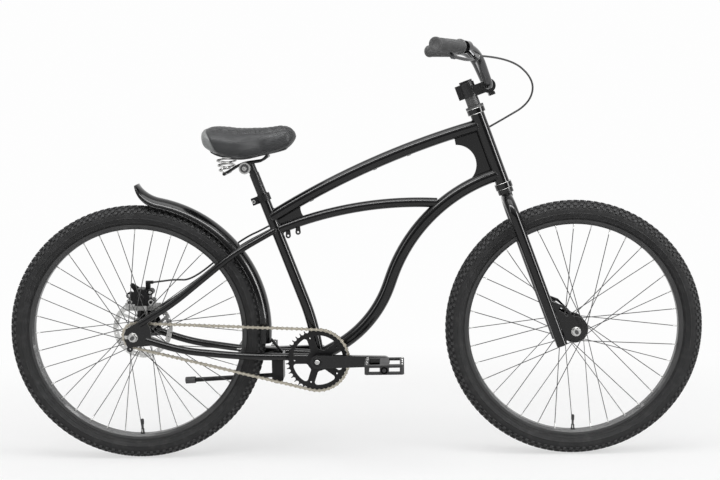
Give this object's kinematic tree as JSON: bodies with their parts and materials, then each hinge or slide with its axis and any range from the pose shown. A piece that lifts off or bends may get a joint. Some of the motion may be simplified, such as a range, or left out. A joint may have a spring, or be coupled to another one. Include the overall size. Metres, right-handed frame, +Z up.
{
  "type": "beach cruiser bicycle",
  "caption": "Single-speed beach cruiser with bowed frame tubes, swept bar, sprung saddle, rear fender and rear disc brake; wheels, cranks, steering, lever and stand move.",
  "frame": {"origin": "on the ground, midway between the tyres' contact points, in the middle plane", "axes": "+X forward along the wheelbase, +Y to the rider's left, +Z up; the chain is on the -Y side"},
  "size_m": [1.82, 0.6274, 1.085],
  "materials": {
    "gloss_black": "gloss black enamel",
    "satin_black": "satin black coat",
    "tyre": "matte rubber",
    "rim_black": "satin black anodised",
    "spoke_steel": "dark plain steel",
    "bright_steel": "zinc plated",
    "chain_steel": "pale oiled steel",
    "dark_chrome": "polished dark plating",
    "grip_rubber": "matte moulded rubber",
    "black_plastic": "moulded, fine grain",
    "spacer_grey": "matte grey",
    "black_alloy": "satin black",
    "saddle_vinyl": "stitched grained vinyl"
  },
  "bodies": {
    "frame": {"top_tube": "gloss_black", "mid_tube": "gloss_black", "down_tube": "gloss_black", "seat_tube": "gloss_black", "head_tube": "gloss_black", "bottom_bracket_shell": "gloss_black", "frame_gussets": "gloss_black", "seat_stays": "gloss_black", "chain_stays": "gloss_black", "rear_dropouts": "gloss_black", "bearing_cups": "satin_black", "seat_collar": "satin_black", "rear_fender": "satin_black", "caliper_body": "satin_black", "caliper_adapter": "bright_steel", "rear_brake_cable": "black_plastic", "cable_clips": "black_plastic", "chain": "chain_steel", "rear_axle": "satin_black", "rear_axle_nuts": "bright_steel", "kickstand_bracket": "satin_black"},
    "fork": {"fork_steerer": "bright_steel", "fork_legs": "gloss_black", "headset_spacers": "spacer_grey", "stem_body": "black_alloy", "stem_faceplate": "black_alloy", "stem_bolts": "satin_black", "handlebar": "dark_chrome", "grips": "grip_rubber", "brake_perch": "bright_steel", "front_brake_cable": "black_plastic", "front_axle": "satin_black", "front_axle_nuts": "bright_steel"},
    "brake_lever": {"brake_lever": "bright_steel"},
    "front_wheel": {"front_tyre": "tyre", "front_rim": "rim_black", "front_spokes": "spoke_steel", "front_hub": "black_alloy"},
    "rear_wheel": {"rear_tyre": "tyre", "rear_rim": "rim_black", "rear_spokes": "spoke_steel", "rear_hub": "black_alloy", "brake_rotor": "bright_steel"},
    "freewheel": {"freewheel": "bright_steel"},
    "crankset": {"crank_spindle": "bright_steel", "crank_arms": "black_alloy", "chainring": "satin_black"},
    "pedal_right": {"pedal_right": "black_plastic"},
    "pedal_left": {"pedal_left": "black_plastic"},
    "kickstand": {"kickstand_leg": "satin_black", "kickstand_foot": "grip_rubber"},
    "seat_post": {"seat_post": "black_alloy", "seat_clamp": "bright_steel", "saddle_rails": "satin_black", "saddle_springs": "satin_black"},
    "saddle": {"saddle_base": "black_plastic", "saddle_cover": "saddle_vinyl"},
    "caliper_arm": {"caliper_arm": "satin_black"},
    "brake_pad": {"moving_brake_pad": "satin_black"}
  },
  "joints": [
    {"name": "steering", "type": "hinge", "parent": "frame", "child": "fork", "pos_m": [0.35512, 0, 0.81107], "axis": [-0.342, 0, 0.9397], "range_deg": [-60, 60], "deforming": ["front_brake_cable"]},
    {"name": "front_wheel_spin", "type": "hinge", "parent": "fork", "child": "front_wheel", "pos_m": [0.573, 0, 0.337], "axis": [0, 1, 0], "continuous": true},
    {"name": "rear_wheel_spin", "type": "hinge", "parent": "frame", "child": "rear_wheel", "pos_m": [-0.573, 0, 0.337], "axis": [0, 1, 0], "continuous": true},
    {"name": "crank_spin", "type": "hinge", "parent": "frame", "child": "crankset", "pos_m": [-0.09808, 0, 0.2664], "axis": [0, 1, 0], "continuous": true, "deforming": ["chain"]},
    {"name": "freewheel_spin", "type": "hinge", "parent": "frame", "child": "freewheel", "pos_m": [-0.573, 0, 0.337], "axis": [0, 1, 0], "continuous": true, "deforming": ["chain"]},
    {"name": "pedal_right_spin", "type": "hinge", "parent": "crankset", "child": "pedal_right", "pos_m": [0.07692, -0.12, 0.2664], "axis": [0, 1, 0], "continuous": true},
    {"name": "pedal_left_spin", "type": "hinge", "parent": "crankset", "child": "pedal_left", "pos_m": [-0.27308, 0.12, 0.2664], "axis": [0, 1, 0], "continuous": true},
    {"name": "kickstand_swing", "type": "hinge", "parent": "frame", "child": "kickstand", "pos_m": [-0.206, 0.031, 0.211], "axis": [0, 1, 0], "range_deg": [-100, 0]},
    {"name": "brake_lever_pull", "type": "hinge", "parent": "fork", "child": "brake_lever", "pos_m": [0.30749, -0.18557, 1.03648], "axis": [-0.6486, 0.358, -0.6717], "range_deg": [0, 7], "stiffness_Nm_per_rad": 4},
    {"name": "caliper_arm_swing", "type": "hinge", "parent": "frame", "child": "caliper_arm", "pos_m": [-0.58, 0.0847, 0.425], "axis": [0, 1, 0], "range_deg": [0, 20]},
    {"name": "brake_pad_slide", "type": "slide", "parent": "frame", "child": "brake_pad", "axis": [0, -1, 0], "range_m": [0, 0.0004]},
    {"name": "seat_height", "type": "slide", "parent": "frame", "child": "seat_post", "axis": [-0.347, 0, 0.9379], "range_m": [-0.06, 0.08]},
    {"name": "saddle_bounce", "type": "hinge", "parent": "seat_post", "child": "saddle", "pos_m": [-0.222, 0, 0.797], "axis": [0, -1, 0], "range_deg": [0, 5], "stiffness_Nm_per_rad": 500, "deforming": ["saddle_springs"]}
  ],
  "couplings": [
    {"joint": "freewheel_spin", "follows": "crank_spin", "ratio": 2.5},
    {"joint": "caliper_arm_swing", "follows": "brake_lever_pull", "ratio": 2.857},
    {"joint": "brake_pad_slide", "follows": "brake_lever_pull", "m_per_rad": 0.00327}
  ]
}
